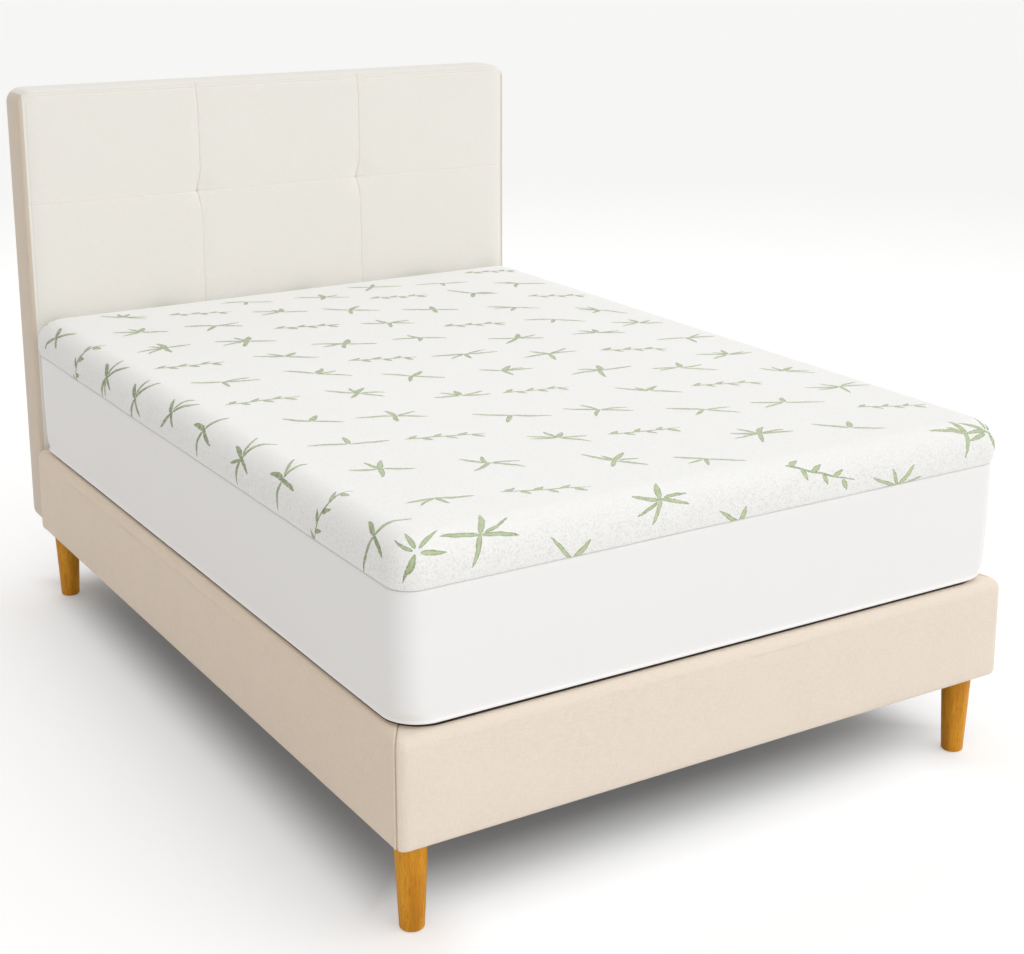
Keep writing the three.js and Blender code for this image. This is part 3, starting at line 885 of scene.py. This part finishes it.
# The cloth along the hem bead is painted whiter: partly the doubled cloth, partly a painted highlight.
hem_top = skirt_low.z + RIM_LIFT + HEM_BEAD_RISE + HEM_BEAD_HEIGHT
on_hem_highlight = wiring.ramp(wiring.parts(place)["Z"], hem_top - HEM_FADE, hem_top + HEM_FADE, 1, 0)
wiring.give(shader.inputs["Base Color"], wiring.blend(on_hem_highlight, knit_tone, HEM_HIGHLIGHT_WHITE))
set_surface(shader, 0.75, 0.25, 0.15, 0.4)
add_relief(wiring, shader, loops, 0.00015, 0.5)

skirt_rows = [
    (out + HEM_BEAD * bell(z - skirt_low.z - RIM_LIFT - HEM_BEAD_RISE, HEM_BEAD_HEIGHT), z, corner)
    for out, z, corner in side_rows(SKIRT_OFF, skirt_low.z, skirt_high.z - SEAM_LIP, 22)
]
hem_out = skirt_rows[0][0]
for share in (0.5, 1.0):
    skirt_rows.insert(0, (hem_out - SKIRT_TURN_UNDER * share, skirt_low.z, INNER_CORNER_RADIUS))
for share in LIP_SHARES:
    lip_z = skirt_high.z - SEAM_LIP * (1 - share)
    skirt_rows.append((SKIRT_OFF - SKIRT_TUCK * share ** 2, lip_z, TOP_CORNER_RADIUS + SKIRT_OFF))
skirt = skin("protector_skirt_knit", [cloth_ring(row, SKIRT_UNEVENNESS) for row in skirt_rows])
thicken(skirt, SKIRT_CLOTH)
close(skirt, stretch_knit, sharp_angle=60)
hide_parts("protector_skirt")


# Protector top panel
# Thicker pebbly knit, cut in one piece and sewn to the skirt's upper edge, so it puffs a little above it.
# It is printed with green sprigs. Leafy twigs stand at two places in nine.
PANEL_CLOTH = 0.0028
PANEL_OFF = 0.0052
PANEL_TUCK = 0.0026
PANEL_UNEVENNESS = 0.0010
PANEL_DROP_STEPS = 7
PRINT_PITCH = 0.180
PRINT_STAGGER = 0.33
PRINT_JITTER = 0.013
PRINT_SWAY = 0.022
PRINT_WOBBLE = 0.005
DROP_MARGIN = 0.075
SPRIG_LEAN = 0.3
CORNER_SQUEEZE = 0.8
SIDE_FADE = 0.03
HEAD_FADE = (-0.9, 0.7)
FAR_KNIT_FADE = (-0.5, 0.9)
PEBBLE_FADE = (0.36, 0.54)
PEBBLE_SHADE_LOST_ON_TOP = 0.75
PRINT_START = (0.25, 0.02, 0.0)
INK_FRAY = 0.0040
INK_EDGE = (-0.0002, 0.0010)
INK_RIM = (0.0007, 0.0027)
INK_COVER = 0.94
INK_SPREAD = 0.0010
TOP_INK_SPREAD = 0.0005
DROP_LEAF_RIM = (0.18, 0.245, 0.09, 1)
DROP_LEAF = (0.53, 0.635, 0.335, 1)
TOP_LEAF_RIM = (0.22, 0.28, 0.13, 1)
TOP_LEAF = (0.48, 0.57, 0.335, 1)
FAR_LEAF_SHADE = (0.25, 0.28, 0.18, 1)
SIDE_LEAF_SHADE = (0.15, 0.20, 0.065, 1)
PALE_LEAF = (0.68, 0.75, 0.52, 1)
PEBBLE_HOLLOW_SHADE = (0.845, 0.845, 0.82, 1)
PEBBLE_TOP = (0.985, 0.985, 0.972, 1)
FAR_KNIT_SHADE = (0.86, 0.865, 0.855, 1)

panel_rows = top_rows(PANEL_OFF, panel_low.z + SEAM_LIP, PANEL_DROP_STEPS)
for share in LIP_SHARES:
    lip_z = panel_low.z + SEAM_LIP * (1 - share)
    panel_rows.insert(0, (PANEL_OFF - PANEL_TUCK * share ** 2, lip_z, TOP_CORNER_RADIUS + PANEL_OFF))
panel_rings = [cloth_ring(row, PANEL_UNEVENNESS) for row in panel_rows]
panel = skin("protector_top_knit", panel_rings, closed_above=True)

# The print lies on the cloth as it was before sewing: plan places, with the drop folded out flat.
edge_level = len(LIP_SHARES) + PANEL_DROP_STEPS + TOP_EDGE_STEPS
edge_ring = ring_points(panel_rows[edge_level])
drops = [0.0] * len(panel_rows)
for level in range(edge_level - 1, -1, -1):
    (out, z, _), (out_above, z_above, _) = panel_rows[level], panel_rows[level + 1]
    drops[level] = drops[level + 1] + math.hypot(out - out_above, z - z_above)
print_places = []
corner_places = []
for level, row in enumerate(panel_rows):
    for step, (spot, way) in enumerate(ring_points(row)):
        edge_spot = edge_ring[step][0]
        folded_out = edge_spot + way * drops[level] if level < edge_level else spot
        print_places.append((folded_out.x, folded_out.y))
        inward = panel_rows[edge_level][0] - row[0] if level > edge_level else 0
        corner_x = math.copysign(MATTRESS_WIDTH / 2, spot.x)
        corner_y = mattress_middle_y + math.copysign(MATTRESS_LENGTH / 2, spot.y - mattress_middle_y)
        beside = abs(spot.x - corner_x), abs(spot.y - corner_y)
        corner_places.append(((beside[0] - beside[1]) * CORNER_SQUEEZE, drops[level] - inward))
for map_name, places in (("print", print_places), ("corner", corner_places)):
    layer = panel.data.uv_layers.new(name=map_name)
    for loop in panel.data.loops:
        layer.data[loop.index].uv = places[loop.vertex_index]
thicken(panel, PANEL_CLOTH)

# One leaf as a node group. Its depth says how far a place lies inside the leaf's outline, negative outside.
leaf = bpy.data.node_groups.new("leaf", "ShaderNodeTree")
leaf.interface.new_socket("Spot", in_out="INPUT", socket_type="NodeSocketVector")
for socket_name in ("Angle", "Start", "Length", "Width", "Bend", "Blunt"):
    leaf.interface.new_socket(socket_name, in_out="INPUT", socket_type="NodeSocketFloat")
leaf.interface.new_socket("Depth", in_out="OUTPUT", socket_type="NodeSocketFloat")
leaf_wiring = Wiring(leaf)
given = leaf_wiring.add("NodeGroupInput").outputs
turn_back = leaf_wiring.math("MULTIPLY", given["Angle"], -1.0)
parts = leaf_wiring.parts(leaf_wiring.turn(given["Spot"], turn_back))
from_start = leaf_wiring.math("SUBTRACT", parts["X"], given["Start"])
raw_share = leaf_wiring.math("DIVIDE", from_start, given["Length"])
share = leaf_wiring.add("ShaderNodeClamp", raw_share).outputs[0]
leaned = leaf_wiring.math("POWER", share, 0.7)
belly = leaf_wiring.math("MULTIPLY", leaned, leaf_wiring.math("SUBTRACT", 1.0, leaned))
belly = leaf_wiring.math("POWER", leaf_wiring.math("MULTIPLY", belly, 4.0), given["Blunt"])
half_width = leaf_wiring.math("MULTIPLY", leaf_wiring.math("MULTIPLY", belly, 0.5), given["Width"])
bow = leaf_wiring.math("MULTIPLY", leaf_wiring.math("POWER", share, 2.0), given["Bend"])
aside = leaf_wiring.math("ABSOLUTE", leaf_wiring.math("SUBTRACT", parts["Y"], bow))
off_end = leaf_wiring.math("ABSOLUTE", leaf_wiring.math("SUBTRACT", raw_share, share))
past_end = leaf_wiring.math("MULTIPLY", off_end, given["Length"])
depth = leaf_wiring.math("SUBTRACT", leaf_wiring.math("SUBTRACT", half_width, aside), past_end)
leaf_wiring.add("NodeGroupOutput", depth)

printed_knit, wiring, shader, place = start_finish("printed_knit")


def uv_place(map_name):
    node = wiring.add("ShaderNodeUVMap")
    node.uv_map = map_name
    return node.outputs[0]


def chance(cell, seed):
    """Three values between 0 and 1 that belong to a cell of the print."""
    seeded = wiring.vector("ADD", cell, (0, 0, seed))
    made = wiring.add("ShaderNodeTexWhiteNoise", seeded, noise_dimensions="3D")
    return wiring.add("ShaderNodeSeparateColor", made.outputs["Color"]).outputs


def drift(scale, detail, reach):
    """A shift of the print, up to reach metres each way, as it never lies quite true on a cloth."""
    made = wiring.add("ShaderNodeTexNoise", flat_place)
    made.inputs["Scale"].default_value = scale
    made.inputs["Detail"].default_value = detail
    centred = wiring.vector("SUBTRACT", made.outputs["Color"], (0.5, 0.5, 0.5))
    return wiring.vector("MULTIPLY", centred, (reach * 2, reach * 2, 0))


def between(value, low, high):
    return wiring.math("MULTIPLY_ADD", value, high - low, low)


def leaf_at(spot, angle, start, length, width, bend, blunt=1.0):
    made = wiring.add("ShaderNodeGroup", spot, angle, start, length, width, bend, blunt, node_tree=leaf)
    return made.outputs[0]


def only_if(wanted, depth):
    """The depth where wanted is 1, and far outside the leaf where it is 0."""
    return wiring.math("ADD", depth, wiring.math("SUBTRACT", wanted, 1.0))


def deepest(depths):
    result = depths[0]
    for depth in depths[1:]:
        result = wiring.math("MAXIMUM", result, depth)
    return result


place_parts = wiring.parts(place)
up_on_top = wiring.ramp(place_parts["Z"], top_turn_z, top_turn_z + TOP_EDGE_RADIUS)
beside_middle = wiring.math("ABSOLUTE", place_parts["X"])
side_drop_shade = wiring.ramp(beside_middle, MATTRESS_WIDTH / 2 - SIDE_FADE, MATTRESS_WIDTH / 2)
toward_head = wiring.ramp(place_parts["Y"], *HEAD_FADE)

# The print is laid out in staggered cells, each with one sprig or twig near its middle.
flat_place = uv_place("print")
swayed = wiring.vector("ADD", wiring.vector("ADD", flat_place, drift(1.7, 0.0, PRINT_SWAY)), PRINT_START)
swayed = wiring.parts(wiring.vector("MULTIPLY", swayed, (1 / PRINT_PITCH, 1 / PRINT_PITCH, 0)))
column = wiring.math("FLOOR", swayed["X"])
stagger = wiring.math("MULTIPLY", wiring.math("FLOORED_MODULO", column, 2.0), PRINT_STAGGER)
staggered = wiring.math("ADD", swayed["Y"], stagger)
row_number = wiring.math("FLOOR", staggered)
cell = wiring.join(column, row_number)
shift, kinds, leans, reaches, present, bends = (chance(cell, seed) for seed in range(1, 7))


def off_middle(along, number, jitter):
    """How far a place lies from the middle of its sprig, in metres."""
    in_cell = wiring.math("SUBTRACT", wiring.math("SUBTRACT", along, number), 0.5)
    sprig_shift = between(jitter, -PRINT_JITTER, PRINT_JITTER)
    return wiring.math("SUBTRACT", wiring.math("MULTIPLY", in_cell, PRINT_PITCH), sprig_shift)


cell_x = off_middle(swayed["X"], column, shift[0])
cell_y = off_middle(staggered, row_number, shift[1])
cell_spot = wiring.vector("ADD", wiring.join(cell_x, cell_y), drift(24, 1.0, PRINT_WOBBLE))
sprig_spot = wiring.turn(cell_spot, between(leans[0], -SPRIG_LEAN, SPRIG_LEAN))
bend_one = between(bends[0], -0.010, 0.010)
bend_two = between(bends[1], -0.012, 0.012)

# Sprigs on the drops have more leaves than those on top, and none but the corner's own stands at a corner.
middle_x = wiring.math("MULTIPLY_ADD", wiring.math("ADD", column, 0.5), PRINT_PITCH, -PRINT_START[0])
middle_row = wiring.math("SUBTRACT", wiring.math("ADD", row_number, 0.5), stagger)
middle_y = wiring.math("MULTIPLY_ADD", middle_row, PRINT_PITCH, -PRINT_START[1] - mattress_middle_y)
beyond_side, beyond_end = (
    wiring.math("GREATER_THAN", wiring.math("ABSOLUTE", middle), reach / 2 - DROP_MARGIN)
    for middle, reach in ((middle_x, MATTRESS_WIDTH), (middle_y, MATTRESS_LENGTH))
)
off_corner = wiring.math("SUBTRACT", 1.0, wiring.math("MULTIPLY", beyond_side, beyond_end))
on_drop = wiring.math("MAXIMUM", beyond_side, beyond_end)
has_upper = wiring.math("MAXIMUM", on_drop, wiring.math("LESS_THAN", kinds[1], 0.62))
has_lower = wiring.math("MAXIMUM", on_drop, wiring.math("GREATER_THAN", kinds[1], 0.30))
has_right = wiring.math("LESS_THAN", present[0], 0.45)
has_left = wiring.math("LESS_THAN", present[1], 0.35)
has_top = wiring.math("LESS_THAN", present[2], 0.35)
# Each leaf: whether it is there, its angle, start, length, width, bend and bluntness.
sprig_leaves = (
    (1.0, (leans[1], -0.75, -0.35), 0.003, (reaches[0], 0.058, 0.082), 0.0079, bend_one, 0.6),
    (1.0, (leans[2], 2.40, 2.80), 0.003, (reaches[1], 0.054, 0.078), 0.0085, bend_two, 0.6),
    (has_upper, (reaches[2], 0.75, 1.30), 0.002, (bends[2], 0.034, 0.050), 0.0122, bend_two, 0.65),
    (has_lower, (kinds[2], 3.95, 4.40), -0.003, (leans[1], 0.036, 0.058), 0.0092, bend_one, 0.5),
    (has_right, (bends[2], -0.15, 0.15), 0.009, (leans[2], 0.038, 0.056), 0.0066, bend_two, 0.6),
    (has_left, (reaches[2], 3.00, 3.35), 0.008, (leans[1], 0.038, 0.056), 0.0066, bend_one, 0.6),
    (has_top, (reaches[0], 1.85, 2.15), 0.004, (leans[2], 0.030, 0.046), 0.0082, bend_one, 0.7),
)
sprig = deepest([
    only_if(is_there, leaf_at(sprig_spot, between(*angle), start, between(*length), *rest))
    for is_there, angle, start, length, *rest in sprig_leaves
])

# A twig has a stem and leaves at even steps, on one side and the other in turn.
TWIG_LEAN = 0.35
TWIG_LEAN_SPREAD = 0.08
TWIG_HALF = 0.072
TWIG_STEP = 0.024
TWIG_TIP = 0.006
twig_lean = between(leans[0], TWIG_LEAN - TWIG_LEAN_SPREAD, TWIG_LEAN + TWIG_LEAN_SPREAD)
twig_spot = wiring.turn(cell_spot, twig_lean)
twig_parts = wiring.parts(twig_spot)
leaf_number = wiring.math("FLOOR", wiring.math("DIVIDE", twig_parts["X"], TWIG_STEP))
leaf_side = wiring.math("MULTIPLY_ADD", wiring.math("FLOORED_MODULO", leaf_number, 2.0), 2.0, -1.0)
leaf_x = wiring.math("SUBTRACT", twig_parts["X"], wiring.math("MULTIPLY", leaf_number, TWIG_STEP))
leaf_y = wiring.math("MULTIPLY", twig_parts["Y"], leaf_side)
leaf_spot = wiring.join(leaf_x, leaf_y)
on_twig = wiring.math("LESS_THAN", wiring.math("ABSOLUTE", twig_parts["X"]), TWIG_HALF)
twig = deepest([
    leaf_at(twig_spot, 0.0, -TWIG_HALF - TWIG_TIP, (TWIG_HALF + TWIG_TIP) * 2, 0.0042, 0.004, 0.3),
    only_if(on_twig, leaf_at(leaf_spot, 0.62, 0.001, 0.027, 0.0100, 0.003)),
])
turn_in_order = wiring.math("MULTIPLY_ADD", column, 2.0, wiring.math("MULTIPLY", row_number, 5.0))
is_twig = wiring.math("LESS_THAN", wiring.math("FLOORED_MODULO", turn_in_order, 9.0), 1.5)
is_sprig = wiring.math("SUBTRACT", 1.0, is_twig)
cell_depth = wiring.math("MAXIMUM", only_if(is_twig, twig), only_if(is_sprig, sprig))

CORNER_SPRIG_SHIFT = (-0.026, 0.052, 0.0)
corner_spot = wiring.vector("MULTIPLY", uv_place("corner"), (1.0, -1.0, 1.0))
corner_spot = wiring.vector("ADD", corner_spot, CORNER_SPRIG_SHIFT)
corner_sprig = deepest([leaf_at(corner_spot, *leaf_sizes) for leaf_sizes in (
    (1.10, 0.005, 0.036, 0.0098, -0.004),
    (4.20, 0.005, 0.052, 0.0068, 0.006, 0.6),
    (5.95, 0.006, 0.038, 0.0095, 0.004, 0.8),
    (2.90, 0.008, 0.042, 0.0064, -0.005, 0.7),
    (2.25, 0.007, 0.040, 0.0082, 0.004, 0.8),
)])
ink_depth = wiring.math("MAXIMUM", only_if(off_corner, cell_depth), corner_sprig)

# The ink frays into the knit and is darker at a leaf's rim. It has one tone on top and another on the drops,
# and is darker down the sides and toward the head: painted light and shade.
frayed = wiring.math("SUBTRACT", wiring.grain(place, (1, 1, 1), 330, 3, 0.6), 0.5)
frayed_depth = wiring.math("MULTIPLY_ADD", frayed, INK_FRAY, ink_depth)
frayed_depth = wiring.math("MULTIPLY_ADD", toward_head, INK_SPREAD, frayed_depth)
frayed_depth = wiring.math("MULTIPLY_ADD", up_on_top, TOP_INK_SPREAD, frayed_depth)
inked = wiring.ramp(frayed_depth, *INK_EDGE)
in_rim = wiring.ramp(frayed_depth, *INK_RIM)
ink_cloud = wiring.grain(place, (1, 1, 1), 130, 3, 0.7)
drop_ink = wiring.blend(in_rim, DROP_LEAF_RIM, DROP_LEAF)
top_ink = wiring.blend(in_rim, TOP_LEAF_RIM, TOP_LEAF)
ink = wiring.blend(up_on_top, drop_ink, top_ink)
ink = wiring.blend(wiring.math("MULTIPLY", toward_head, 0.5), ink, FAR_LEAF_SHADE)
ink = wiring.blend(wiring.math("MULTIPLY", side_drop_shade, 0.7), ink, SIDE_LEAF_SHADE)
ink = wiring.blend(wiring.ramp(ink_cloud, 0.42, 0.64, 0, 0.5), ink, PALE_LEAF)
# The pebbles' hollows are darker, partly their own mottle and partly painted shade; over the top that is
# mostly taken away.
pebbles = wiring.grain(place, (1, 1, 1), 250, 3, 0.75)
loops = wiring.grain(place, (1, 1, 1), 1300, 1)
pebble_shade_off_on_top = wiring.math("MULTIPLY", up_on_top, PEBBLE_SHADE_LOST_ON_TOP)
pebble_tops = wiring.math("MAXIMUM", wiring.ramp(pebbles, *PEBBLE_FADE), pebble_shade_off_on_top)
knit_tone = wiring.blend(pebble_tops, PEBBLE_HOLLOW_SHADE, PEBBLE_TOP)
# Painted shade: the knit turns a little greyer toward the head.
knit_tone = wiring.blend(wiring.ramp(place_parts["Y"], *FAR_KNIT_FADE, 0, 0.3), knit_tone, FAR_KNIT_SHADE)
print_tone = wiring.blend(wiring.math("MULTIPLY", inked, INK_COVER), knit_tone, ink)
wiring.give(shader.inputs["Base Color"], print_tone)
set_surface(shader, 0.9, 0.2, 0.2)
relief = wiring.math("MULTIPLY_ADD", loops, 0.3, pebbles)
add_relief(wiring, shader, relief, 0.0020, 0.7)
close(panel, printed_knit, sharp_angle=60)
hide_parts("protector_top_panel")


bpy.context.view_layer.update()
